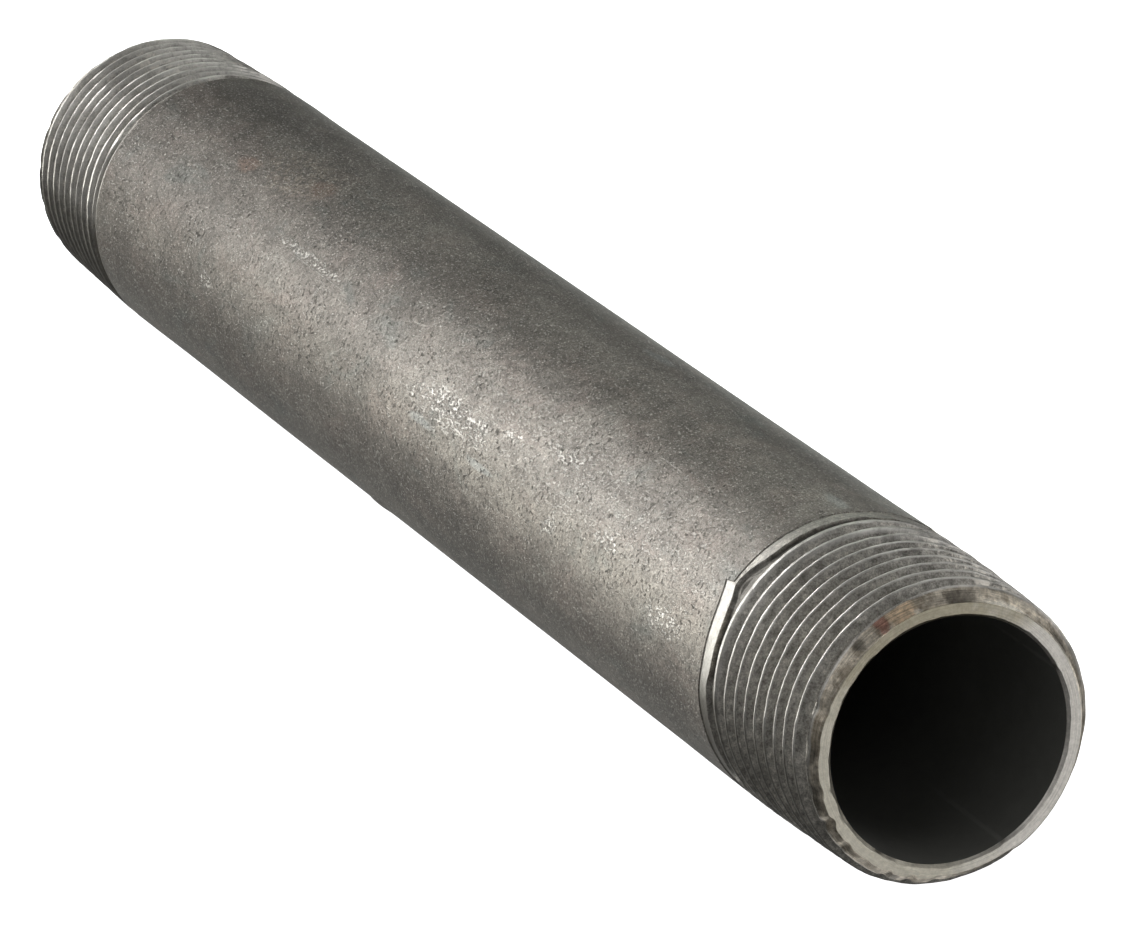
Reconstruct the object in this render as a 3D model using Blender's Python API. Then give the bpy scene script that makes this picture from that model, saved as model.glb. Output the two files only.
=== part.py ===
"""Threaded pipe nipple, 1 in NPT x 9 in, Schedule 40 black steel.

One length of pipe with a right-hand taper thread cut on both ends. The pipe
lies along X with its middle at the origin. Angles are measured about +X from
+Y, and "depth" is the distance from an end face into the pipe.

A taper thread grows, runs out through the nose chamfer and vanishes into the
pipe's surface, so no two of its turns are alike. A Screw modifier repeats one
turn, so the skin is a lattice instead: one thread profile for each column
round the pipe, worked out from the thread's dimensions, then joined up.
"""

import math

import bmesh
import bpy
import numpy as np
from mathutils import Vector

INCH = 0.0254

# Pipe, ASME B36.10 Schedule 40, nominal size 1
PIPE_DIAMETER = 1.315 * INCH
BORE_DIAMETER = 1.049 * INCH
LENGTH = 9.0 * INCH

# Thread, ASME B1.20.1 NPT, nominal size 1
PITCH = INCH / 11.5
PITCH_DIAMETER_AT_END = 1.21363 * INCH
TAPER_ON_RADIUS = 1.0 / 32.0
FLANK_SLOPE = math.tan(math.radians(60.0))
SHARP_HEIGHT = 0.866 * PITCH
CREST_RISE = 0.335 * PITCH
ROOT_DROP = 0.4 * PITCH
FULL_THREAD_REACH = 0.6828 * INCH

# How far the vanishing thread reaches from each end face
REACH_AT_POSITIVE_END = 0.0250
REACH_AT_NEGATIVE_END = 0.0239
SHOULDER_LAND = 0.0004

# Where a thread groove crosses the reference angle, as a depth
PHASE_AT_POSITIVE_END = 0.00084
PHASE_AT_NEGATIVE_END = 0.00205

# Ends: a turned nose chamfer outside, a broken edge inside
END_FACE_RADIUS = 0.0148
NOSE_SLOPE = math.tan(math.radians(40.0))
BORE_EDGE_BREAK = 0.00033

COLUMNS = 48
THINNEST_THREAD = 0.00003
SNAP = 0.00004

STEEL_COLOUR = (0.075, 0.073, 0.070, 1.0)


def clear_scene():
    for obj in list(bpy.data.objects):
        bpy.data.objects.remove(obj, do_unlink=True)


def black_steel():
    material = bpy.data.materials.new("black_steel")
    material.use_nodes = True
    shader = material.node_tree.nodes["Principled BSDF"]
    shader.inputs["Base Color"].default_value = STEEL_COLOUR
    shader.inputs["Metallic"].default_value = 0.7
    shader.inputs["Roughness"].default_value = 0.45
    return material


def pitch_radius(depth):
    return PITCH_DIAMETER_AT_END / 2 + depth * TAPER_ON_RADIUS


def crest_limit(depth):
    """Outer envelope: the nose chamfer, the crest cone and the pipe itself."""
    chamfer = END_FACE_RADIUS + depth * NOSE_SLOPE
    cone = pitch_radius(depth) + CREST_RISE
    return min(chamfer, cone, PIPE_DIAMETER / 2)


def groove_floor(depth, reach):
    """Root cone of the thread, which climbs to the pipe's surface as it vanishes."""
    root = pitch_radius(depth) - ROOT_DROP
    if depth <= FULL_THREAD_REACH:
        return root
    start = pitch_radius(FULL_THREAD_REACH) - ROOT_DROP
    share = (depth - FULL_THREAD_REACH) / (reach - FULL_THREAD_REACH)
    return start + share * (PIPE_DIAMETER / 2 - start)


def flank_radius(depth, centre):
    """Radius on either flank of the groove whose middle is at this depth."""
    return pitch_radius(centre) - SHARP_HEIGHT / 2 + abs(depth - centre) * FLANK_SLOPE


def flank_meets(centre, side, limit):
    """Distance from the groove's middle to where its flank crosses a limit."""
    low = 0.0
    high = PITCH / 2
    for _ in range(40):
        middle = (low + high) / 2
        depth = centre + side * middle
        if flank_radius(depth, centre) < limit(depth):
            low = middle
        else:
            high = middle
    return (low + high) / 2


def groove_points(centre, reach):
    """The four profile points of one groove, from shallow to deep."""

    def floor(depth):
        return groove_floor(depth, reach)

    points = []
    for side in (-1, 1):
        top = centre + side * flank_meets(centre, side, crest_limit)
        foot = centre + side * flank_meets(centre, side, floor)
        shallow = crest_limit(foot) - floor(foot) < THINNEST_THREAD
        if shallow or abs(foot - centre) > abs(top - centre):
            foot = top
        foot_radius = crest_limit(foot) if foot == top else floor(foot)
        pair = [(top, crest_limit(top)), (foot, foot_radius)]
        points += pair if side < 0 else pair[::-1]
    return points


def radius_at_face(phase):
    """Outer radius on the end face, where a groove may run out through it."""
    nearest = phase - PITCH * round(phase / PITCH)
    thread = max(groove_floor(0.0, 1.0), flank_radius(0.0, nearest))
    return min(crest_limit(0.0), thread)


def end_column(phase, reach):
    """Thread profile of one end along one column, face first."""
    face = (0.0, radius_at_face(phase))
    shoulder = (reach + SHOULDER_LAND, PIPE_DIAMETER / 2)
    first = -2
    last = math.ceil(reach / PITCH) + 2
    column = []
    for k in range(first, last + 1):
        for depth, radius in groove_points(phase + k * PITCH, reach):
            if depth < SNAP:
                column.append(face)
            elif depth > shoulder[0] - SNAP:
                column.append(shoulder)
            else:
                column.append((depth, radius))
    return column


class Shell:
    """Collects points once each, and faces that keep at least three corners."""

    def __init__(self):
        self.mesh = bmesh.new()
        self.known = {}

    def point(self, x, radius, angle):
        place = (x, radius * math.cos(angle), radius * math.sin(angle))
        key = tuple(round(value, 7) for value in place)
        if key not in self.known:
            self.known[key] = self.mesh.verts.new(place)
        return self.known[key]

    def face(self, corners):
        kept = []
        for corner in corners:
            if corner not in kept:
                kept.append(corner)
        if len(kept) > 2:
            self.mesh.faces.new(kept)


def thread_rows(shell, sign, first_phase, reach):
    """Lays one threaded end; returns its face ring and its shoulder ring.

    The thread climbs one pitch in a turn, so the last column joins the first
    one four profile points, that is one groove, further along.
    """
    columns = []
    for j in range(COLUMNS):
        turn = j / COLUMNS
        phase = first_phase - turn * PITCH
        angle = turn * 2 * math.pi
        place = angle if sign > 0 else math.pi - angle
        rows = []
        for depth, radius in end_column(phase, reach):
            rows.append(shell.point(sign * (LENGTH / 2 - depth), radius, place))
        columns.append(rows)
    wrapped = [columns[0][max(i - 4, 0)] for i in range(len(columns[0]))]
    for left, right in zip(columns, columns[1:] + [wrapped]):
        for i in range(len(left) - 1):
            shell.face([left[i], left[i + 1], right[i + 1], right[i]])
    return [rows[0] for rows in columns], [rows[-1] for rows in columns]


def ring(shell, x, radius):
    angles = np.linspace(0.0, 2 * math.pi, COLUMNS, endpoint=False)
    return [shell.point(x, radius, angle) for angle in angles]


def reordered(points):
    """Puts a ring built in the mirrored order into the order of the angles."""
    return sorted(points, key=lambda v: math.atan2(v.co.z, v.co.y) % (2 * math.pi - 1e-6))


def bridge(shell, first, second):
    for i in range(COLUMNS):
        j = (i + 1) % COLUMNS
        shell.face([first[i], first[j], second[j], second[i]])


def pipe_mesh():
    shell = Shell()
    face_pos, shoulder_pos = thread_rows(
        shell, 1, PHASE_AT_POSITIVE_END, REACH_AT_POSITIVE_END
    )
    face_neg, shoulder_neg = thread_rows(
        shell, -1, PHASE_AT_NEGATIVE_END, REACH_AT_NEGATIVE_END
    )
    half = LENGTH / 2
    bore = BORE_DIAMETER / 2
    rings = [
        reordered(shoulder_pos),
        reordered(shoulder_neg),
        reordered(face_neg),
        ring(shell, -half, bore + BORE_EDGE_BREAK),
        ring(shell, -half + BORE_EDGE_BREAK, bore),
        ring(shell, half - BORE_EDGE_BREAK, bore),
        ring(shell, half, bore + BORE_EDGE_BREAK),
        reordered(face_pos),
    ]
    bridge(shell, rings[0], rings[1])
    for first, second in zip(rings[2:], rings[3:]):
        bridge(shell, first, second)
    bmesh.ops.recalc_face_normals(shell.mesh, faces=shell.mesh.faces[:])
    return shell.mesh


def build():
    clear_scene()
    collection = bpy.data.collections.new("Pipe_Nipple")
    bpy.context.scene.collection.children.link(collection)
    data = bpy.data.meshes.new("pipe_nipple")
    shell = pipe_mesh()
    shell.to_mesh(data)
    shell.free()
    data.materials.append(black_steel())
    data.shade_smooth()
    data.set_sharp_from_angle(angle=math.radians(30.0))
    nipple = bpy.data.objects.new("pipe_nipple", data)
    nipple.location = Vector((0.0, 0.0, 0.0))
    collection.objects.link(nipple)


build()
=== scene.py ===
"""Looks for the threaded pipe nipple: a finely modelled pipe, floor, light and camera.

The pipe lies along X. Its lengths are in millimetres until the mesh is made. "Depth" is
the distance from an end face into the pipe, and angles are measured about +X from +Y.
"""
import math

import bmesh
import bpy
import numpy as np
from mathutils import Matrix, Vector


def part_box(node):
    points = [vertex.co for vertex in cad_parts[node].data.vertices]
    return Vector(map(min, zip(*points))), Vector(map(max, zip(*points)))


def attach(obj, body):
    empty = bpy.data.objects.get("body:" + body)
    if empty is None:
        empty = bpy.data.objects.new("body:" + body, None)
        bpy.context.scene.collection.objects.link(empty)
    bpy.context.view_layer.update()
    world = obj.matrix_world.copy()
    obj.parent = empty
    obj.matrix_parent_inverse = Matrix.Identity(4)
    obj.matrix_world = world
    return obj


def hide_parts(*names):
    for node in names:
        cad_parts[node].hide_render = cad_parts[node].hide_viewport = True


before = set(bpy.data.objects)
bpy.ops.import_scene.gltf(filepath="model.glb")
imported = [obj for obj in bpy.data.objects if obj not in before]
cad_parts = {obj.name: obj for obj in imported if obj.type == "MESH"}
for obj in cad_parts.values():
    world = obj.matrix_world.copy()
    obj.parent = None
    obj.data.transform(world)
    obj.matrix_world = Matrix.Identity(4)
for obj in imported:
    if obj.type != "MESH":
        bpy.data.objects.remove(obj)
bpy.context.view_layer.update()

LOW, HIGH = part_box("pipe_nipple")

MM = 0.001
TURN = 2 * math.pi
HALF = (HIGH.x - LOW.x) / 2 / MM
PIPE_RADIUS = (HIGH.z - LOW.z) / 2 / MM
BORE_RADIUS = 13.322
BORE_EDGE = 0.33
FACE_RADIUS = 14.8
NOSE_SLOPE = math.tan(math.radians(40))
NOSE_ROUNDING = 0.10

# 1 in NPT thread
PITCH = 25.4 / 11.5
PITCH_RADIUS = 30.826 / 2
TAPER = 1 / 32
FLANK = math.tan(math.radians(60))
SHARP = 0.866 * PITCH
ROOT_DROP = 0.4 * PITCH
CREST_RISE = 0.335 * PITCH
FULL_REACH = 17.34
RUN_OUT_SPARE = 1.5
ROOT_ROUNDING = 0.10
PIPE_ROUNDING = 0.12
LEAN_ANGLE = math.radians(58)
LAG_START = 14.3

# Groove that the die leaves just before the last cut: its slope and greatest drop, and
# how far from the cut it ends, where it lifts clear of the thread
RELIEF_SLOPE = 1.3
RELIEF_DROP = 0.5
RELIEF_END = (0.85, 1.3)
RELIEF_LIFT = 2

# Wear on the crests, which starts at this many pitches from a groove's middle
CREST_START = 0.33
CREST_SPAN = 0.17
BURR_HEIGHT = 0.03
CREST_WEAR = 0.01
CHIP_DEPTH = 0.08
CHIP_SHIFT = 0.06
TORN_HEIGHT = 0.10
TORN_ANGLE = math.radians(68)
TORN_SPREAD = math.radians(45)
LUMP_HEIGHT = 0.008

# Layers of noise: height, size of the lumps and seed
SWELLS = ((0.035, (40, 14, 14), 5), (0.012, 6, 6))
RIM_WEAR = ((0.08, 2.0, 7), (0.05, 0.7, 8))

# Barrel: a little under the pipe's size, with one small lump of spatter on the lower side
BARREL_START = 29.0
BARREL_FADE = 12
BARREL_DROP = 0.03
SPATTER_X = -9.2
SPATTER_ANGLE = math.radians(222)
SPATTER_SIZE = (2.2, 1.1)
SPATTER_HEIGHT = 0.2

# Mesh: columns round the pipe, rows along it, and row places on the last cut and its step
COLUMNS = 320
BARREL_ROWS = 30
SPATTER_ROWS = 17
SPATTER_REACH = 3.2
BORE_ROWS = 12
NEAR_GRID = (-0.5, -0.47, -0.445, -0.41, -0.29, -0.16, -0.05,
             0.05, 0.16, 0.29, 0.41, 0.445, 0.47)
FAR_GRID = (-0.5, -0.455, -0.40, -0.22, -0.05, 0.05, 0.22, 0.40, 0.455)
BAND_SHARES = (0.0, 0.05, 0.35, 0.7)
STEP_OFFSETS = (-0.03, 0.001, 0.07, 0.35)
FACE_SHARES = (0.3, 0.65, 1.0)
SHARP_EDGE = math.radians(38)

# Material slots
OUTSIDE, FACE, BORE = range(3)

# Texture layout: stops along the pipe, then where each strip starts and how much it covers
STRIP_STOPS = (0.01, 0.29, 0.71, 0.99)
OUTSIDE_STRIP = (0.01, 0.74)
BORE_STRIP = (0.77, 0.11)
FACE_LENGTH = (0.01, 0.98)
NEAR_FACE_START = 0.90
FAR_FACE_START = 0.95
FACE_STRIP = 0.045
FACE_INNER = 13.0
FACE_WIDTH = 2.2

# Marks on the outside: depth from the near face and angle in degrees of the middle,
# then half length and half width in millimetres
# GLINTS and SPARKLING are painted highlights: patches of bright flecks in the highlight band
GLINTS = ((81.5, 144.5, 3.0, 0.8), (68, 138.5, 7, 1.1), (52.5, 155.5, 4, 1.1),
          (65.5, 164, 2.2, 1.2), (35, 167, 5.5, 1.8), (168, 168, 2.5, 1.0),
          (146, 135.5, 12, 0.8), (97, 152, 14, 2.6))
SPARKLING = ((70, 143, 55, 6.5),)
PALE_RUBS = ((102.5, 161, 4, 0.7), (85.5, 162, 4.5, 0.6), (82, 75, 4.5, 1.4), (29, 88, 3.5, 1.0))
RED_STAINS = ((175, 118, 3.6, 1.6), (158, 108, 3.8, 1.8))
DARK_PATCHES = ((192, 90, 20, 4.4),)
SPECKLES = ((165, 108, 13, 5.0),)
SCRATCHES = ((154, 147, 0.14, 3.4), (142.5, 138, 11, 0.07), (52, 118, 3.2, 0.10),
             (144, 196, 4.2, 0.09), (139, 143, 0.10, 2.0))
TORN_ZONES = ((12, 64, 13, 5.4), (214, 64, 14, 4.6))
TORN_THREADS = ((16.2, 67, 1.5, 4.0), (13.0, 64, 1.0, 3.0), (10.0, 69, 1.6, 4.0),
                (7.4, 65, 1.0, 3.4), (3.4, 68, 2.0, 4.2), (1.6, 80, 1.4, 2.6),
                (215.5, 66, 7.5, 2.4), (208, 66, 2.8, 2.0), (216, 104, 13, 3.6))
DULL_THREADS = ((215, 83, 15, 2.2), (12, 86, 10, 1.8))
PALE_NOSE_PATCHES = ((0.35, 63, 0.55, 5.5), (0.3, 107, 0.35, 1.6))
ORANGE_NOSE_STAINS = ((0.8, 111, 1.1, 2.4),)
RED_NOSE_STAINS = ((0.9, 119.5, 1.1, 1.0),)
DARK_NOSE_STAINS = ((0.7, 86, 0.8, 2.6), (0.7, 131, 0.6, 1.0), (0.6, 34, 0.9, 3.0),
                    (0.9, 196, 0.8, 2.6), (0.7, 178, 0.5, 1.4), (0.5, 246, 0.6, 1.2))

# The outside's marks are placed from this angle, which keeps the seam behind the pipe.
# Painted shade on the threads' lower side starts this far past it, dulling the crests and
# lightening the flanks a little.
VIEWED_ANGLE = math.radians(140)
LOWER_SHADING_START = math.radians(43)
LOWER_SHADING_FADE = 0.22

# Colours, linear, and the heights of the finest bumps in metres
SCALE_DARK = (0.220, 0.203, 0.181)
SCALE_PALE = (0.292, 0.270, 0.240)
SCALE_WARM = (0.305, 0.262, 0.232)
SCALE_COOL = (0.225, 0.240, 0.222)
SCALE_RED = (0.330, 0.245, 0.200)
SCALE_RUBBED = (0.40, 0.415, 0.40)
SCALE_STAINED = (0.12, 0.112, 0.10)
SPECKLE = (0.42, 0.37, 0.31)
PIT = (0.045, 0.043, 0.038)
BARE_STEEL_AND_GLINTS = (0.80, 0.77, 0.72)
FLANK_DARK = (0.29, 0.277, 0.25)
FLANK_PALE = (0.50, 0.478, 0.434)
TORN_METAL = (0.82, 0.77, 0.69)
CREST_DARK = (0.56, 0.545, 0.51)
CREST_PALE = (0.78, 0.76, 0.72)
DEEP_SHADE = (0.10, 0.095, 0.085)
LOWER_SHADE_GREY = (0.20, 0.19, 0.17)
NOSE_BROWN = (0.36, 0.315, 0.25)
NOSE_STRAW = (0.66, 0.60, 0.50)
NOSE_PALE = (0.84, 0.80, 0.70)
NOSE_ORANGE = (0.74, 0.57, 0.39)
NOSE_RED = (0.46, 0.23, 0.18)
NOSE_DARK = (0.17, 0.155, 0.13)
FACE_DARK = (0.52, 0.495, 0.45)
FACE_PALE = (0.74, 0.71, 0.66)
FACE_STRAW = (0.50, 0.47, 0.385)
FACE_BROWN = (0.34, 0.305, 0.215)
BORE_DARK = (0.095, 0.095, 0.087)
BORE_PALE = (0.135, 0.135, 0.123)
FLOOR_DARK = (0.96, 0.96, 0.96)
FLOOR_PALE = (0.99, 0.99, 0.99)
OUTSIDE_BUMP = 0.00007
FACE_BUMP = 0.00004
BORE_BUMP = 0.0001

# Floor and dome, in metres
FLOOR_RINGS = (0.5, 1.0, 2.0, 3.0, 4.0)
DOME_RADIUS = 4.0
DOME_HEIGHT = 8.0
DOME_BULGE = 0.2
DOME_STEPS = 18
FLOOR_SIDES = 48
FLOOR_GLOW = 1.1

# Camera, fitted to the pipe's outline: place in millimetres, view direction, focal length
# and sensor width in millimetres, and nearest and farthest metre that it sees
CAMERA_PLACE = (801.178, -340.185, 285.753)
CAMERA_FORWARD = (-0.870342, 0.376722, -0.317150)
FOCAL_LENGTH = 257.7984
SENSOR_WIDTH = 36.0
CLIP_START = 0.01
CLIP_END = 50.0

# Soft square lamps, all at the same distance: name, direction, size in metres, power in
# watts and colour
LAMP_DISTANCE = 1.2
WHITE = (1.0, 1.0, 1.0)
OLIVE = (0.93, 1.0, 0.92)
CREAM = (1.0, 1.0, 0.95)
LAMPS = (
    ("key_high", (-0.60, -0.40, 0.69), 0.42, 4.2, WHITE),
    ("key_middle", (-0.60, -0.69, 0.40), 0.42, 2.4, WHITE),
    ("key_low", (-0.60, -0.80, 0.00), 0.42, 2.2, CREAM),
    ("key_behind", (-0.76, -0.56, 0.325), 0.42, 1.5, WHITE),
    ("key_behind_low", (-0.76, -0.65, 0.00), 0.42, 1.0, CREAM),
    ("table_glow_left", (-0.70, -0.62, -0.36), 0.42, 0.55, CREAM),
    ("table_glow_low", (-0.87, 0.00, -0.49), 0.42, 0.12, CREAM),
    ("table_glow_right", (-0.87, 0.424, -0.245), 0.42, 0.5, OLIVE),
    ("top", (-0.60, 0.00, 0.80), 0.42, 0.6, OLIVE),
    ("top_right", (-0.60, 0.40, 0.69), 0.42, 1.0, OLIVE),
    ("fill_left", (0.33, -0.72, 0.60), 0.8, 1.6, WHITE),
    ("overhead", (0.16, 0.38, 0.91), 0.8, 1.4, WHITE),
    ("right_fill", (0.52, 0.78, 0.36), 0.6, 1.5, WHITE),
    ("right_low", (-0.39, 0.88, -0.12), 0.8, 3.2, WHITE),
    ("under", (-0.36, 0.10, -0.90), 0.8, 2.6, WHITE),
    ("left_of_camera", (0.835, -0.57, -0.06), 0.5, 0.35, WHITE),
    ("by_camera", (0.87, -0.377, 0.50), 0.5, 0.36, WHITE),
    ("front", (1.00, 0.30, 0.40), 0.5, 0.45, WHITE),
    ("table_glow_front", (0.87, 0.38, -0.32), 0.42, 1.1, WHITE),
)
WORLD_STRENGTH = 0.10


# ---------------------------------------------------------------- noise and steps
def hashed(ix, iy, iz, seed):
    """A repeatable value from 0 to 1 for each whole-number lattice point."""
    h = (ix * 374761393 + iy * 668265263 + iz * 2147483647 + seed * 974634777) & 0xFFFFFFFF
    h = ((h ^ (h >> 13)) * 1274126177) & 0xFFFFFFFF
    h = ((h ^ (h >> 16)) * 2246822519) & 0xFFFFFFFF
    return ((h ^ (h >> 15)) & 0xFFFFFF) / float(0xFFFFFF)


def noise(points, cell, seed):
    """Smooth noise from -1 to 1 at points in millimetres, with lumps of this size."""
    p = points / np.asarray(cell, float)
    base = np.floor(p).astype(np.int64)
    t = p - base
    t = t * t * (3 - 2 * t)
    total = np.zeros(p.shape[:-1])
    for dx in (0, 1):
        for dy in (0, 1):
            for dz in (0, 1):
                weight = (
                    (t[..., 0] if dx else 1 - t[..., 0])
                    * (t[..., 1] if dy else 1 - t[..., 1])
                    * (t[..., 2] if dz else 1 - t[..., 2])
                )
                corner = hashed(base[..., 0] + dx, base[..., 1] + dy, base[..., 2] + dz, seed)
                total += weight * corner
    return total * 2 - 1


def layered(points, layers):
    """Layers of noise added up."""
    return sum(height * noise(points, size, seed) for height, size, seed in layers)


def smooth_min(a, b, radius):
    """The lower of two values, with the corner between them rounded."""
    h = np.clip(0.5 + 0.5 * (b - a) / radius, 0, 1)
    return b * (1 - h) + a * h - radius * h * (1 - h)


def smooth_max(a, b, radius):
    """The higher of two values, with the corner between them rounded."""
    return -smooth_min(-a, -b, radius)


def step(low, high, value):
    """Rises smoothly from 0 at low to 1 at high."""
    t = np.clip((value - low) / (high - low), 0, 1)
    return t * t * (3 - 2 * t)


# ---------------------------------------------------------------- the two ends
class NearEnd:
    """The end at +X, towards the camera. A groove is phase deep at angle 0."""
    sign = 1
    phase = 0.841
    grid = NEAR_GRID
    reach = 25.0
    helix_limit = 21.5
    land_rows = 18
    last_crest = 22.1
    crest_rise = CREST_RISE + 0.05
    rounding = 0.07
    lean = 0.07
    drift = 0.013
    band_drop = 0.13
    seed = 11
    face_start = NEAR_FACE_START

    def shoulder(self, angle):
        """Depths of the inner and outer edges of the last cut before the barrel.

        The die's four chasers each end in a step of their own, a quarter turn apart.
        """
        q = (np.degrees(angle) - 139.6) % 90.0
        outer = 24.85 + 2.15 * np.exp(-q / 9.0) + 0.45 * step(30, 45, q)
        inner = 22.95 + 2.05 * np.exp(-q / 7.0)
        inner = inner + 0.6 * step(30, 40, q) + 1.25 * step(72, 89, q)
        return inner, np.maximum(outer, inner + 0.02)

    def bite(self, angle):
        """Chatter notches that the chamfering tool left in the end face's edge."""
        degrees = np.degrees(angle)
        window = step(148, 166, degrees) * (1 - step(262, 280, degrees))
        depth = 0.22 + 0.14 * np.sin(0.13 * degrees)
        lobes = np.maximum(0, np.sin(27 * angle + 2 * np.sin(3 * angle))) ** 1.3
        nick = step(255, 275, degrees) * (1 - step(295, 305, degrees))
        return window * depth * lobes + 0.28 * nick


class FarEnd:
    """The end at -X, away from the camera."""
    sign = -1
    phase = 0.948
    grid = FAR_GRID
    reach = 23.9
    helix_limit = 22.2
    land_rows = 8
    last_crest = 23.3
    crest_rise = CREST_RISE - 0.05
    rounding = 0.05
    lean = 0.10
    drift = -0.003
    band_drop = 0.05
    seed = 29
    face_start = FAR_FACE_START

    def shoulder(self, angle):
        """Depths of the inner and outer edges of the last cut before the barrel."""
        q = (np.degrees(angle) - 42.0) % 90.0
        outer = 24.1 + 0.5 * np.exp(-q / 9.0)
        return outer - 0.28, outer

    def bite(self, angle):
        """Shallow chatter notches in the end face's edge."""
        return 0.12 * np.maximum(0, np.sin(19 * angle)) ** 4


# ---------------------------------------------------------------- thread shape
def stretched(end, plain):
    """The die lagged as it finished, so the last turns are a little off the pitch."""
    return plain + end.drift * np.maximum(plain - LAG_START, 0) ** 2


def unstretched(end, depth):
    """The depth that a place would have without the lag."""
    plain = np.linspace(-10, 35, 1801)
    return np.interp(depth, stretched(end, plain), plain)


def cone_radius(end, depth, angle):
    """Pitch cone of the thread, whose axis is a little off the pipe's."""
    lean = end.lean * np.cos(angle - LEAN_ANGLE)
    return PITCH_RADIUS + depth * TAPER + lean


def nose_radius(end, depth, angle):
    """The nose chamfer, with its notches."""
    return FACE_RADIUS - end.bite(angle) + depth * NOSE_SLOPE


def crest_limit(end, depth, angle):
    """The surface that the crests reach: nose chamfer, crest cone, then the pipe's own."""
    crest = cone_radius(end, depth, angle) + end.crest_rise
    crest = smooth_min(crest, PIPE_RADIUS, PIPE_ROUNDING)
    return smooth_min(nose_radius(end, depth, angle), crest, NOSE_ROUNDING)


def from_groove(end, depth, turn):
    """Distance in pitches from the nearest groove's middle, up to a half on each crest."""
    along = (unstretched(end, depth) - end.phase) / PITCH + end.sign * turn
    return along - np.round(along)


def thread_radius(end, depth, turn, angle):
    """Groove floors and flanks, with the floors rising out past the full thread."""
    offset = from_groove(end, depth, turn) * PITCH
    flank = cone_radius(end, depth - offset, angle) - SHARP / 2 + np.abs(offset) * FLANK
    root = cone_radius(end, depth, angle) - ROOT_DROP
    start = cone_radius(end, FULL_REACH, angle) - ROOT_DROP
    share = np.clip((depth - FULL_REACH) / (end.reach + RUN_OUT_SPARE - FULL_REACH), 0, 1)
    floor = np.where(depth > FULL_REACH, start + share * (PIPE_RADIUS - start), root)
    return smooth_max(floor, flank, ROOT_ROUNDING)


def outer_radius(end, depth, turn, angle):
    """The finished outside of the pipe at one end, before wear."""
    inner, outer = end.shoulder(angle)
    thread = smooth_min(
        thread_radius(end, depth, turn, angle), crest_limit(end, depth, angle), end.rounding)
    band = PIPE_RADIUS - end.band_drop
    short = inner - depth
    relief = band - np.minimum(short * RELIEF_SLOPE, RELIEF_DROP)
    relief = relief + RELIEF_LIFT * step(*RELIEF_END, short)
    cut = np.where(short > 0, np.minimum(thread, relief), band)
    return np.where(depth >= outer, PIPE_RADIUS, cut)


def end_rows(end, turn, angle):
    """Depth of every row and column at one end, and how many rows are helical."""
    inner, outer = end.shoulder(angle)
    rows = []
    for k in range(-3, int(end.reach / PITCH) + 4):
        for g in end.grid:
            plain = end.phase + PITCH * (k + g - end.sign * turn)
            rows.append(np.clip(stretched(end, plain), 0, end.helix_limit))
    helical = len(rows)
    for i in range(1, end.land_rows):
        rows.append(end.helix_limit + (inner - end.helix_limit) * i / end.land_rows)
    rows += [inner + share * (outer - inner) for share in BAND_SHARES]
    rows += [outer + offset for offset in STEP_OFFSETS]
    rows.append(np.full(COLUMNS, BARREL_START))
    return np.array(rows), helical


def around(x, radius, angle):
    """Points at a place along the pipe, a radius and an angle."""
    parts = np.broadcast_arrays(x, radius * np.cos(angle), radius * np.sin(angle))
    return np.stack(parts, -1)


def place(end, depth, radius, angle):
    """Points at a depth into one end."""
    return around(end.sign * (HALF - depth), radius, angle)


def worn(end, depth, radius, turn, angle):
    """Depth and radius after burrs, torn crests, chips and small lumps."""
    points = place(end, depth, radius, angle)
    crest = np.clip((np.abs(from_groove(end, depth, turn)) - CREST_START) / CREST_SPAN, 0, 1)
    crest = crest * step(0.6, 2.0, depth)
    crest = crest * (1 - step(end.helix_limit - 0.5, end.helix_limit + 1, depth))
    burr = layered(points, ((1.0, 1.3, end.seed), (0.6, 0.45, end.seed + 1)))
    chips = step(0.55, 0.85, noise(points, 2.2, end.seed + 2))
    top = np.cos(np.minimum(np.abs(angle - TORN_ANGLE), TORN_SPREAD) * 2)
    torn = top * np.clip(noise(points, (0.9, 2.5, 2.5), end.seed + 5), 0, 1)
    radius = radius + crest * (BURR_HEIGHT * burr - CREST_WEAR - CHIP_DEPTH * chips)
    radius = radius + torn * TORN_HEIGHT * step(0.5, 2, depth)
    wander = layered(points, ((0.15, 3.5, end.seed + 3), (0.09, 1.3, end.seed + 6)))
    lumps = noise(points, 0.7, end.seed + 4) * step(0.0, 0.4, depth)
    return depth + crest * (wander + CHIP_SHIFT * chips), radius + LUMP_HEIGHT * lumps


def brightness(end, depth, turn, angle):
    """1 on clean crests and the last cut, with a painted glint on the burr, down to -1 for painted
    shade in the groove before it.
    """
    inner, outer = end.shoulder(angle)
    degrees = np.degrees(angle)
    thread = thread_radius(end, depth, turn, angle)
    limit = crest_limit(end, depth, angle)
    flat = 1 - step(0.06, 0.16, limit - smooth_min(thread, limit, end.rounding))
    flat = flat * step(1.3, 1.6, depth) * (depth < end.last_crest)
    band = step(0.0, 0.05, depth - inner) * step(0.0, 0.03, outer - depth)
    band = band * np.where(np.abs(degrees - 95) < 44.6, 0.15, 0.9)
    # painted glint: the burr at the start of the first thread is bright only from 128 to 194
    # degrees, where it catches the light
    burr = step(0.45, 0.49, np.abs(from_groove(end, depth, turn))) * (depth < 1.6)
    burr = burr * step(128, 136, degrees) * (1 - step(186, 194, degrees))
    bright = np.maximum(np.maximum(flat, band), burr)
    # painted shade in the groove between the last crest and the last cut, weaker past 182 degrees
    shaded = 0.4 + 0.6 * (1 - step(168, 182, degrees))
    return np.where((depth > end.last_crest) & (depth < inner), -shaded, bright)


# ---------------------------------------------------------------- mesh
def strip_u(x):
    """Where a place along the pipe falls across the texture strip."""
    at = [-HALF, -HALF + BARREL_START, HALF - BARREL_START, HALF]
    return np.interp(x, at, STRIP_STOPS)


def wide(values):
    """A grid with its first column repeated at the end."""
    return np.hstack([values, values[:, :1]])


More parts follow.
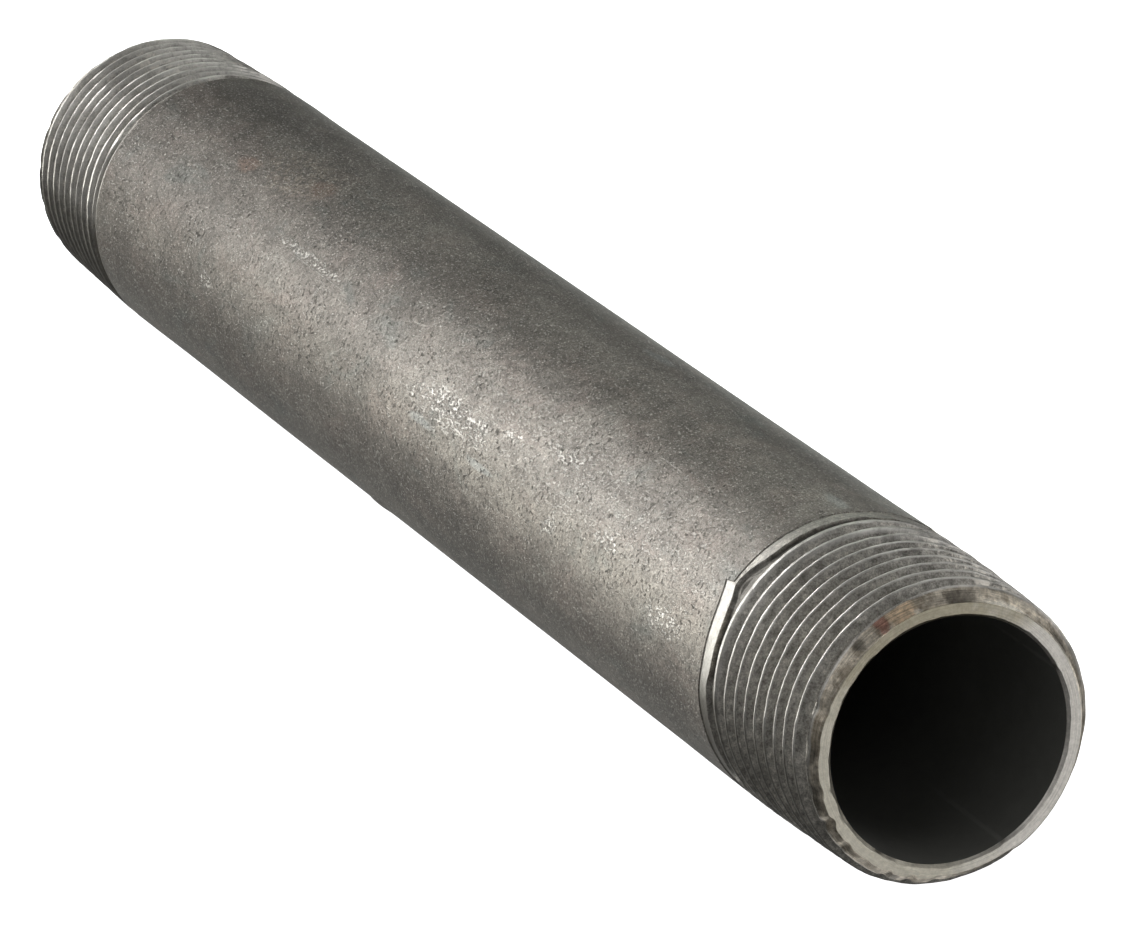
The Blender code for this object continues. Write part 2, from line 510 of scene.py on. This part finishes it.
class Shell:
    """Gathers grids of points, each COLUMNS wide, and the faces between their rows."""

    def __init__(self):
        self.points = []
        self.masks = []
        self.count = 0
        self.faces = []
        self.uvs = []
        self.slots = []

    def rows(self, points, crest=0.0, cut=-1.0):
        """Adds a grid of points with its masks, and gives back their numbers."""
        grid = np.arange(points.shape[0] * COLUMNS).reshape(-1, COLUMNS) + self.count
        self.count += grid.size
        self.points.append(points.reshape(-1, 3))
        masks = [np.broadcast_to(m, points.shape[:-1]).reshape(-1) for m in (crest, cut)]
        self.masks.append(np.stack(masks, -1))
        return grid

    def skin(self, grid, closing, u, v, slot):
        """Faces between neighbouring rows; closing is the grid's first column again."""
        ring = np.hstack([grid, closing[:, None]])
        for i in range(len(ring) - 1):
            a, b = ring[i, :-1], ring[i + 1, :-1]
            d, c = ring[i, 1:], ring[i + 1, 1:]
            for j in np.nonzero((a != b) | (c != d))[0]:
                corners = [a[j], b[j], c[j], d[j]]
                spots = [(u[i][j], v[i][j]), (u[i + 1][j], v[i + 1][j]),
                         (u[i + 1][j + 1], v[i + 1][j + 1]), (u[i][j + 1], v[i][j + 1])]
                if a[j] == b[j]:
                    corners, spots = corners[1:], spots[1:]
                elif c[j] == d[j]:
                    corners, spots = corners[:3], spots[:3]
                self.faces.append([int(n) for n in corners])
                self.uvs += spots
                self.slots.append(slot)


def build_end(shell, end, turn, angle):
    """One threaded end: returns the ring on its face and the ring at the barrel."""
    depth, helical = end_rows(end, turn, angle)
    radius = outer_radius(end, depth, turn, angle)
    cut = end.shoulder(angle)[1] - depth
    moved, radius = worn(end, depth, radius, turn, angle)
    moved = np.where(depth <= 0, 0.0, moved)
    bright = brightness(end, depth, turn, angle)
    grid = shell.rows(place(end, moved, radius, angle), bright, cut)
    for j in range(COLUMNS):
        on_face = np.nonzero(depth[:helical, j] <= 0)[0]
        grid[on_face, j] = grid[on_face[-1], j]
        at_limit = np.nonzero(depth[:helical, j] >= end.helix_limit)[0]
        grid[at_limit, j] = grid[at_limit[0], j]
    # after one turn a helical row meets the row one pitch along
    shift = np.arange(len(grid))
    shift[:helical] = np.clip(shift[:helical] - end.sign * len(end.grid), 0, helical - 1)
    closing = grid[shift, 0]
    u = strip_u(end.sign * (HALF - np.hstack([depth, depth[shift, :1]])))
    start, cover = OUTSIDE_STRIP
    v = np.broadcast_to(start + cover * np.append(turn, 1.0), u.shape)
    shell.skin(grid, closing, u, v, OUTSIDE)
    return grid[0], grid[-1]


def build_barrel(shell, near_ring, far_ring, turns, angle):
    """The plain barrel between the two ends' last rings."""
    xs = np.linspace(HALF - BARREL_START, BARREL_START - HALF, BARREL_ROWS)
    close = SPATTER_X + np.linspace(-SPATTER_REACH, SPATTER_REACH, SPATTER_ROWS)
    xs = np.sort(np.append(xs, close))[::-1]
    points = around(xs[:, None], PIPE_RADIUS, angle)
    radial = points * (0, 1, 1) / PIPE_RADIUS
    fade = step(0, BARREL_FADE, HALF - BARREL_START - np.abs(xs))[:, None]
    arc = PIPE_RADIUS * (angle - SPATTER_ANGLE)
    length, width = SPATTER_SIZE
    spatter = np.exp(-((xs[:, None] - SPATTER_X) / length) ** 4 - (arc / width) ** 2)
    lift = layered(points, SWELLS) * fade - BARREL_DROP * fade + SPATTER_HEIGHT * spatter
    points = points + radial * lift[..., None]
    grid = np.vstack([near_ring, shell.rows(points[1:-1]), far_ring])
    u = np.repeat(strip_u(xs)[:, None], COLUMNS + 1, 1)
    start, cover = OUTSIDE_STRIP
    v = np.broadcast_to(start + cover * turns, u.shape)
    shell.skin(grid, grid[:, 0], u, v, OUTSIDE)


def build_face(shell, end, face, turns, angle):
    """One flat end face and its bore edge break: returns the ring in the bore."""
    rim = around(0.0, PIPE_RADIUS, angle)
    edge = BORE_RADIUS + BORE_EDGE + layered(rim, RIM_WEAR)
    outer = np.hypot(*np.concatenate(shell.points)[face, 1:].T)
    rings = [outer + (edge - outer) * share for share in FACE_SHARES]
    rings.append(np.full(COLUMNS, BORE_RADIUS))
    depths = np.array([0.0, 0.0, 0.0, BORE_EDGE])[:, None]
    grid = np.vstack([face, shell.rows(place(end, depths, np.array(rings), angle))])
    radii = np.vstack([outer, rings])
    v = end.face_start + FACE_STRIP * (radii - FACE_INNER) / FACE_WIDTH
    start, cover = FACE_LENGTH
    for part in (slice(0, 4), slice(3, 5)):
        u = np.broadcast_to(turns * cover + start, (len(grid[part]), COLUMNS + 1))
        shell.skin(grid[part], grid[part][:, 0], u, wide(v[part]), FACE)
    return grid[-1]


def build_bore(shell, near_ring, far_ring, turns, angle):
    """The bore between the two ends' edge breaks."""
    xs = np.linspace(HALF - BORE_EDGE, BORE_EDGE - HALF, BORE_ROWS)
    points = around(xs[:, None], BORE_RADIUS, angle)
    grid = np.vstack([near_ring, shell.rows(points[1:-1]), far_ring])
    u = np.repeat(strip_u(xs)[:, None], COLUMNS + 1, 1)
    start, cover = BORE_STRIP
    shell.skin(grid, grid[:, 0], u, np.broadcast_to(start + cover * turns, u.shape), BORE)


def build_pipe():
    """The whole pipe: two threaded ends, the barrel, two faces and the bore."""
    shell = Shell()
    turn = np.arange(COLUMNS) / COLUMNS
    turns = np.append(turn, 1.0)
    angle = turn * TURN
    near, far = NearEnd(), FarEnd()
    near_face, near_barrel = build_end(shell, near, turn, angle)
    far_face, far_barrel = build_end(shell, far, turn, angle)
    build_barrel(shell, near_barrel, far_barrel, turns, angle)
    near_bore = build_face(shell, near, near_face, turns, angle)
    far_bore = build_face(shell, far, far_face, turns, angle)
    build_bore(shell, near_bore, far_bore, turns, angle)
    return shell


def mesh_from(shell, name):
    """A mesh of the shell's used points, kept inside the CAD box, with its two masks."""
    points = np.clip(np.concatenate(shell.points) * MM, LOW, HIGH)
    masks = np.concatenate(shell.masks)
    used = np.unique(np.concatenate([np.array(face) for face in shell.faces]))
    renumber = np.full(len(points), -1)
    renumber[used] = np.arange(len(used))
    faces = [[int(renumber[n]) for n in face] for face in shell.faces]
    mesh = bpy.data.meshes.new(name)
    mesh.from_pydata(points[used].tolist(), [], faces)
    mesh.polygons.foreach_set("material_index", shell.slots)
    layer = mesh.uv_layers.new(name="OFBake")
    layer.data.foreach_set("uv", np.array(shell.uvs, np.float32).ravel())
    for i, label in enumerate(("crest", "cut")):
        mask = mesh.attributes.new(label, "FLOAT", "POINT")
        mask.data.foreach_set("value", masks[used, i].astype(np.float32))
    mesh.update()
    bm = bmesh.new()
    bm.from_mesh(mesh)
    if bm.calc_volume(signed=True) < 0:
        bmesh.ops.reverse_faces(bm, faces=bm.faces)
    bm.to_mesh(mesh)
    bm.free()
    mesh.shade_smooth()
    mesh.set_sharp_from_angle(angle=SHARP_EDGE)
    return mesh


# ---------------------------------------------------------------- materials
class Graph:
    """Short names for the shader nodes this scene uses."""

    def __init__(self, name):
        self.material = bpy.data.materials.new(name)
        self.material.use_nodes = True
        self.tree = self.material.node_tree
        self.shader = self.tree.nodes["Principled BSDF"]
        metres = self.new("ShaderNodeTexCoord").outputs["Object"]
        self.flat = self.scaled(metres, 1 / MM)
        split = self.new("ShaderNodeSeparateXYZ")
        self.link(self.flat, split.inputs[0])
        self.x, self.y, self.z = split.outputs
        facing, up = math.cos(VIEWED_ANGLE), math.sin(VIEWED_ANGLE)
        times = self.product
        front = self.math("ADD", times(self.y, facing), times(self.z, up))
        side = self.math("SUBTRACT", times(self.z, facing), times(self.y, up))
        self.angle = self.math("ARCTAN2", side, front)
        self.around = times(self.angle, PIPE_RADIUS)
        self.radius = self.length(self.y, self.z)
        self.ragged = self.noise(self.stretched(0.5, 1.0, 1.0), 0.9, 4.0, 0.65)

    def new(self, kind, **settings):
        node = self.tree.nodes.new(kind)
        for key, value in settings.items():
            setattr(node, key, value)
        return node

    def link(self, source, target):
        """Joins two sockets, or sets one to a plain value."""
        if isinstance(source, (int, float, tuple)):
            target.default_value = source
        else:
            self.tree.links.new(source, target)

    def math(self, operation, a, b=0.0, c=0.0):
        node = self.new("ShaderNodeMath", operation=operation)
        for socket, value in zip(node.inputs, (a, b, c)):
            self.link(value, socket)
        return node.outputs[0]

    def product(self, first, *others):
        for other in others:
            first = self.math("MULTIPLY", first, other)
        return first

    def length(self, a, b):
        """Length of a flat vector."""
        return self.math("SQRT", self.math("ADD", self.product(a, a), self.product(b, b)))

    def vector(self, x, y, z):
        node = self.new("ShaderNodeCombineXYZ")
        for socket, value in zip(node.inputs, (x, y, z)):
            self.link(value, socket)
        return node.outputs[0]

    def stretched(self, sx, sy, sz):
        """The place in millimetres, scaled on each axis."""
        node = self.new("ShaderNodeVectorMath", operation="MULTIPLY")
        self.link(self.flat, node.inputs[0])
        self.link((sx, sy, sz), node.inputs[1])
        return node.outputs[0]

    def scaled(self, vector, gain):
        """A colour or a vector times a value."""
        node = self.new("ShaderNodeVectorMath", operation="SCALE")
        self.link(vector, node.inputs[0])
        self.link(gain, node.inputs["Scale"])
        return node.outputs[0]

    def noise(self, where, scale, detail=3.0, rough=0.55, distortion=0.0):
        node = self.new("ShaderNodeTexNoise")
        self.link(where, node.inputs["Vector"])
        node.inputs["Scale"].default_value = scale
        node.inputs["Detail"].default_value = detail
        node.inputs["Roughness"].default_value = rough
        node.inputs["Distortion"].default_value = distortion
        return node.outputs[0]

    def ramp(self, value, low, high, to_low=0.0, to_high=1.0):
        """Goes smoothly from to_low at low to to_high at high."""
        node = self.new("ShaderNodeMapRange", interpolation_type="SMOOTHSTEP")
        self.link(value, node.inputs["Value"])
        node.inputs["From Min"].default_value = low
        node.inputs["From Max"].default_value = high
        node.inputs["To Min"].default_value = to_low
        node.inputs["To Max"].default_value = to_high
        return node.outputs[0]

    def mix(self, share, a, b):
        """From colour a to colour b."""
        node = self.new("ShaderNodeMix", data_type="RGBA")
        self.link(share, node.inputs[0])
        for socket, colour in ((6, a), (7, b)):
            self.link((*colour, 1.0) if isinstance(colour, tuple) else colour, node.inputs[socket])
        return node.outputs[2]

    def blend(self, share, a, b):
        """From value a to value b."""
        node = self.new("ShaderNodeMix", data_type="FLOAT")
        self.link(share, node.inputs[0])
        self.link(a, node.inputs[2])
        self.link(b, node.inputs[3])
        return node.outputs[0]

    def patch(self, mark, ragged=0.5, edge=0.45):
        """A soft patch on the outside: middle depth and angle, half length and width."""
        depth, degrees, length, width = mark
        x = self.math("MULTIPLY_ADD", self.x, 1 / length, (depth - HALF) / length)
        arc = math.radians(degrees) - VIEWED_ANGLE
        a = self.math("MULTIPLY_ADD", self.around, 1 / width, -arc * PIPE_RADIUS / width)
        far = self.math("SUBTRACT", self.length(x, a), ragged)
        far = self.math("MULTIPLY_ADD", self.ragged, 2 * ragged, far)
        return self.ramp(far, 1.0, edge)

    def patches(self, marks, ragged=0.5, edge=0.45):
        """The strongest of several patches."""
        found = [self.patch(mark, ragged, edge) for mark in marks]
        for other in found[1:]:
            found[0] = self.math("MAXIMUM", found[0], other)
        return found[0]

    def stained(self, colour, marks, strength, stain):
        """A colour with patches of another."""
        return self.mix(self.product(self.patches(marks), strength), colour, stain)

    def attribute(self, name):
        return self.new("ShaderNodeAttribute", attribute_name=name).outputs["Fac"]

    def bump(self, height, distance, strength):
        node = self.new("ShaderNodeBump")
        self.link(height, node.inputs["Height"])
        node.inputs["Distance"].default_value = distance
        node.inputs["Strength"].default_value = strength
        return node.outputs[0]


def barrel_colour(g, grain, fine, pits):
    """Mill scale: warm grey, blotchy, finely speckled, with rubs, small stains and painted glints
    in the highlight band.

    Gives its colour and its share of bare steel and painted glint.
    """
    drawn = g.stretched(0.45, 1.0, 1.0)
    broad = g.noise(drawn, 0.09, 4.0, 0.6, 0.4)
    warm = g.noise(drawn, 0.22, 3.0, 0.6, 0.6)
    middle = g.noise(g.stretched(0.7, 1.0, 1.0), 0.45, 3.0, 0.6)
    colour = g.mix(g.ramp(broad, 0.35, 0.68), SCALE_DARK, SCALE_PALE)
    colour = g.mix(g.ramp(warm, 0.50, 0.70, 0, 0.5), colour, SCALE_WARM)
    colour = g.mix(g.ramp(warm, 0.44, 0.28, 0, 0.5), colour, SCALE_COOL)
    colour = g.stained(colour, RED_STAINS, 0.7, SCALE_RED)
    colour = g.stained(colour, PALE_RUBS, 0.6, SCALE_RUBBED)
    colour = g.stained(colour, DARK_PATCHES, 0.5, SCALE_STAINED)
    dots = g.ramp(g.noise(g.flat, 1.1, 3.0, 0.7), 0.47, 0.56)
    colour = g.mix(g.product(g.patches(SPECKLES), dots, 0.7), colour, SPECKLE)
    # painted shade: the last factor makes the scale darker towards the far end
    colour = g.scaled(colour, g.product(
        g.ramp(grain, 0.32, 0.68, 0.80, 1.20),
        g.ramp(fine, 0.32, 0.68, 0.70, 1.30),
        g.ramp(middle, 0.30, 0.70, 0.86, 1.14),
        g.ramp(g.x, -80.0, 70.0, 0.86, 1.06),
    ))
    colour = g.mix(g.product(pits, 0.7), colour, PIT)

    # bare steel, rare everywhere, and painted glints: bright flecks thick in the sparkling zone
    # and the glint patches, which lie in the highlight band
    speck = g.noise(g.stretched(0.6, 1.2, 1.2), 2.6, 3.0, 0.65)
    rare = g.ramp(g.noise(g.stretched(0.7, 1.2, 1.2), 3.4, 2.0, 0.6), 0.60, 0.66, 0, 0.6)
    zones = g.math("MAXIMUM", g.patches(SPARKLING, 0.8), g.patches(GLINTS, 0.8))
    flecks = g.product(zones, g.ramp(speck, 0.55, 0.62), 0.45)
    scratches = g.product(g.patches(SCRATCHES, 0.25, 0.6), g.ramp(fine, 0.4, 0.55), 0.5)
    glints = g.product(g.patches(GLINTS, 0.9), g.ramp(speck, 0.50, 0.57))
    rubs_and_glints = g.math("MAXIMUM", scratches, glints)
    rubs_and_glints = g.math("MAXIMUM", rubs_and_glints, g.math("MAXIMUM", rare, flecks))
    return g.mix(g.product(rubs_and_glints, 0.85), colour, BARE_STEEL_AND_GLINTS), rubs_and_glints


def flank_colour(g, grain, fine, tool, torn, lower_side_shading):
    """Cut metal on the thread's flanks and floors, torn on the upper side."""
    flank = g.mix(tool, FLANK_DARK, FLANK_PALE)
    # painted light: the last factor lightens the flanks a little on the lower side
    flank = g.scaled(flank, g.product(
        g.ramp(grain, 0.30, 0.70, 0.7, 1.3),
        g.ramp(fine, 0.3, 0.7, 0.75, 1.25),
        g.ramp(torn, 0.3, 0.7, 0.72, 1.28),
        g.blend(lower_side_shading, 1.0, 1.1),
    ))
    ripped = g.noise(g.stretched(1.4, 0.9, 0.9), 0.8, 4.0, 0.7, 0.6)
    ripping = g.ramp(ripped, 0.36, 0.64, 0.45, 1.6)
    flank = g.scaled(flank, g.blend(g.patches(TORN_ZONES, 0.3), 1.0, ripping))
    flank = g.scaled(flank, g.blend(g.patches(DULL_THREADS, 0.3), 1.0, 0.62))
    shreds = g.product(g.patches(TORN_THREADS, 1.0, 0.2), g.ramp(ripped, 0.44, 0.58), 0.8)
    return g.mix(shreds, flank, TORN_METAL)


def nose_colour(g, grain, tool, torn):
    """Brown and straw stains on the nose."""
    stain = g.noise(g.flat, 0.45, 4.0, 0.65, 0.5)
    tint = g.mix(g.ramp(stain, 0.38, 0.60), NOSE_BROWN, NOSE_STRAW)
    tint = g.stained(tint, PALE_NOSE_PATCHES, g.ramp(torn, 0.4, 0.5), NOSE_PALE)
    tint = g.stained(tint, ORANGE_NOSE_STAINS, 0.8, NOSE_ORANGE)
    tint = g.mix(g.product(g.patches(RED_NOSE_STAINS, 0.9), 0.75), tint, NOSE_RED)
    tint = g.stained(tint, DARK_NOSE_STAINS, 0.85, NOSE_DARK)
    gain = g.product(g.ramp(tool, 0.3, 0.75, 0.65, 1.3), g.ramp(grain, 0.3, 0.7, 0.7, 1.3))
    return g.scaled(tint, gain)


def thread_colour(g, grain, fine, tool):
    """Dull flanks, bright crests, a stained nose, and painted shade on the lower side.

    Gives its colour and how far it is bright crest.
    """
    # the crest mask also carries painted shade (below 0) in the groove before the last cut, and
    # the burr's painted glint
    crest = g.attribute("crest")
    torn = g.noise(g.stretched(1.5, 0.5, 0.5), 1.0, 4.0, 0.65, 0.4)
    lower = g.math("MULTIPLY_ADD", torn, 0.3, g.angle)
    # painted shade on the lower side: crests there are dulled and turned grey, flanks lightened a
    # little
    lower_side_shading = g.ramp(lower, LOWER_SHADING_START, LOWER_SHADING_START + LOWER_SHADING_FADE)
    top = g.mix(tool, CREST_DARK, CREST_PALE)
    uneven = g.ramp(g.noise(g.flat, 0.8, 3.0, 0.65), 0.36, 0.55, 0.55, 1.0)
    lit = g.product(
        g.math("MAXIMUM", crest, 0.0),
        g.ramp(fine, 0.25, 0.45, 0.7, 1.0),
        uneven,
        g.blend(lower_side_shading, 1.0, 0.35),
    )
    thread = g.mix(lit, flank_colour(g, grain, fine, tool, torn, lower_side_shading), top)
    thread = g.mix(g.ramp(crest, 0.0, -1.0, 0, 0.65), thread, DEEP_SHADE)
    # painted shade: crest colour turns grey on the lower side
    thread = g.mix(g.product(g.ramp(crest, 0.3, 0.8), lower_side_shading, 0.8), thread, LOWER_SHADE_GREY)

    # the nose ends where the first turn rises out of it
    first_turn = g.math("MAXIMUM", g.math("MULTIPLY_ADD", g.angle, -PITCH / TURN, 1.12), 0.9)
    depth = g.math("SUBTRACT", HALF - 0.15, g.x)
    past = g.math("MULTIPLY_ADD", torn, 0.3, g.math("SUBTRACT", depth, first_turn))
    nose = g.mix(lit, nose_colour(g, grain, tool, torn), top)
    return g.mix(g.ramp(past, 0.06, -0.06), thread, nose), lit


def outer_steel():
    """Mill scale on the barrel and cut metal on both threads, told apart by a mask."""
    g = Graph("black_steel")
    grain = g.noise(g.flat, 1.7, 4.0, 0.7)
    fine = g.noise(g.flat, 5.5, 2.0, 0.6)
    tool = g.noise(g.stretched(9.0, 0.25, 0.25), 1.0, 3.0, 0.6)
    clusters = g.noise(g.stretched(0.6, 1.0, 1.0), 0.30, 3.0, 0.6)
    holes = g.ramp(g.noise(g.flat, 2.1, 3.0, 0.65), 0.42, 0.34)
    pits = g.product(holes, g.ramp(clusters, 0.44, 0.62, 0.3, 1.0))
    scale, rubs_and_glints = barrel_colour(g, grain, fine, pits)
    thread, lit = thread_colour(g, grain, fine, tool)
    ragged = g.product(g.math("SUBTRACT", fine, 0.5), 0.08)
    inside = g.ramp(g.math("ADD", g.attribute("cut"), ragged), -0.01, 0.03)
    g.link(g.mix(inside, scale, thread), g.shader.inputs["Base Color"])
    scale_rough = g.blend(rubs_and_glints, g.ramp(grain, 0.2, 0.8, 0.31, 0.43), 0.29)
    thread_rough = g.blend(lit, g.ramp(tool, 0.2, 0.8, 0.40, 0.54), 0.38)
    g.link(g.blend(inside, scale_rough, thread_rough), g.shader.inputs["Roughness"])
    g.link(g.blend(inside, 0.85, 1.0), g.shader.inputs["Metallic"])
    relief = g.math("SUBTRACT", g.product(rubs_and_glints, 0.8), g.product(pits, 1.8))
    sand = g.product(g.math("MULTIPLY_ADD", fine, 0.4, grain), 0.6)
    marks = g.math("ADD", g.product(tool, 0.6), g.product(grain, 0.7))
    height = g.blend(inside, g.math("ADD", sand, relief), marks)
    g.link(g.bump(height, OUTSIDE_BUMP, 0.9), g.shader.inputs["Normal"])
    return g.material


def face_steel():
    """Turned end face: fine rings, brown on one side and straw on the side below it."""
    g = Graph("cut_face")
    rings = g.vector(g.product(g.radius, 7.0), g.product(g.y, 0.12), g.product(g.z, 0.12))
    lines = g.noise(rings, 1.0, 3.0, 0.6)
    stain = g.noise(g.flat, 0.30, 4.0, 0.65, 0.4)
    grain = g.noise(g.flat, 2.2, 3.0, 0.7)
    turned = g.math("ADD", g.product(g.math("SUBTRACT", stain, 0.5), 1.2), g.angle)
    brown = g.product(g.ramp(turned, -1.75, -1.1), g.ramp(turned, 0.45, -0.15))
    straw = g.product(g.ramp(turned, -0.4, 0.3), g.ramp(turned, 2.9, 2.2))
    colour = g.mix(lines, FACE_DARK, FACE_PALE)
    colour = g.mix(g.product(straw, 0.8), colour, FACE_STRAW)
    colour = g.mix(g.product(brown, 0.85), colour, FACE_BROWN)
    gain = g.product(g.ramp(grain, 0.25, 0.75, 0.85, 1.15), g.ramp(lines, 0.25, 0.75, 0.8, 1.2))
    g.link(g.scaled(colour, gain), g.shader.inputs["Base Color"])
    g.shader.inputs["Metallic"].default_value = 1.0
    g.link(g.ramp(lines, 0.2, 0.8, 0.34, 0.50), g.shader.inputs["Roughness"])
    g.link(g.bump(lines, FACE_BUMP, 0.6), g.shader.inputs["Normal"])
    return g.material


def bore_scale():
    """Dark, rough scale inside the bore."""
    g = Graph("bore_scale")
    rust = g.noise(g.flat, 0.5, 5.0, 0.65)
    g.link(g.mix(rust, BORE_DARK, BORE_PALE), g.shader.inputs["Base Color"])
    g.link(g.ramp(rust, 0.3, 0.7, 0.75, 0.9), g.shader.inputs["Roughness"])
    g.shader.inputs["Specular IOR Level"].default_value = 0.15
    g.link(g.bump(rust, BORE_BUMP, 0.6), g.shader.inputs["Normal"])
    return g.material


def floor_material():
    """Pale and evenly lit by itself."""
    g = Graph("studio_floor")
    tone = g.mix(g.noise(g.stretched(0.02, 0.02, 0.02), 1.0, 2.0, 0.5), FLOOR_DARK, FLOOR_PALE)
    g.link(tone, g.shader.inputs["Base Color"])
    g.link(tone, g.shader.inputs["Emission Color"])
    g.shader.inputs["Emission Strength"].default_value = FLOOR_GLOW
    g.shader.inputs["Roughness"].default_value = 0.9
    return g.material


# ---------------------------------------------------------------- stage
def add_floor():
    """A flat pale floor that sweeps up into a dome. It lights nothing but itself."""
    profile = [(r, 0.0) for r in FLOOR_RINGS]
    for i in range(1, DOME_STEPS + 1):
        a = math.radians(90.0 * i / DOME_STEPS)
        bulge = DOME_RADIUS * (1 - i / DOME_STEPS) * DOME_BULGE
        profile.append((DOME_RADIUS * math.cos(a) + bulge, DOME_HEIGHT * math.sin(a)))
    bm = bmesh.new()
    centre = bm.verts.new((0.0, 0.0, LOW.z))
    last = None
    for r, z in profile:
        ring = []
        for j in range(FLOOR_SIDES):
            a = TURN * j / FLOOR_SIDES
            ring.append(bm.verts.new((r * math.cos(a), r * math.sin(a), LOW.z + z)))
        for j in range(FLOOR_SIDES):
            k = (j + 1) % FLOOR_SIDES
            corners = [last[j], last[k], ring[k], ring[j]] if last else [centre, ring[k], ring[j]]
            bm.faces.new(corners)
        last = ring
    mesh = bpy.data.meshes.new("studio_floor")
    bm.to_mesh(mesh)
    bm.free()
    mesh.shade_smooth()
    mesh.materials.append(floor_material())
    floor = bpy.data.objects.new("studio_floor", mesh)
    floor.visible_diffuse = False
    floor.visible_glossy = False
    floor.visible_transmission = False
    floor.visible_shadow = False
    bpy.context.scene.collection.objects.link(floor)


def add_lamp(name, direction, size, power, colour):
    """A soft square lamp that looks at the pipe's middle."""
    spot = Vector(direction).normalized() * LAMP_DISTANCE
    data = bpy.data.lights.new(name, "AREA")
    data.shape = "SQUARE"
    data.size = size
    data.energy = power
    data.color = colour
    lamp = bpy.data.objects.new(name, data)
    lamp.location = spot
    lamp.rotation_euler = (-spot).to_track_quat("-Z", "Y").to_euler()
    lamp.visible_camera = False
    bpy.context.scene.collection.objects.link(lamp)


def add_camera():
    data = bpy.data.cameras.new("camera")
    data.sensor_fit = "HORIZONTAL"
    data.sensor_width = SENSOR_WIDTH
    data.lens = FOCAL_LENGTH
    data.clip_start = CLIP_START
    data.clip_end = CLIP_END
    camera = bpy.data.objects.new("camera", data)
    forward = Vector(CAMERA_FORWARD).normalized()
    right = forward.cross(Vector((0, 0, 1))).normalized()
    up = right.cross(forward)
    turn = Matrix((right, up, -forward)).transposed().to_4x4()
    camera.matrix_world = Matrix.Translation(Vector(CAMERA_PLACE) * MM) @ turn
    bpy.context.scene.collection.objects.link(camera)
    bpy.context.scene.camera = camera


def add_world():
    world = bpy.data.worlds.new("studio")
    world.use_nodes = True
    back = world.node_tree.nodes["Background"]
    back.inputs["Color"].default_value = (1.0, 1.0, 1.0, 1.0)
    back.inputs["Strength"].default_value = WORLD_STRENGTH
    bpy.context.scene.world = world


def add_pipe():
    mesh = mesh_from(build_pipe(), "pipe_body")
    for material in (outer_steel(), face_steel(), bore_scale()):
        mesh.materials.append(material)
    pipe = bpy.data.objects.new("pipe_body", mesh)
    bpy.context.scene.collection.objects.link(pipe)
    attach(pipe, "root")
    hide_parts("pipe_nipple")


def main():
    add_pipe()
    add_floor()
    for lamp in LAMPS:
        add_lamp(*lamp)
    add_world()
    add_camera()
    bpy.context.scene.view_settings.view_transform = "Standard"


main()
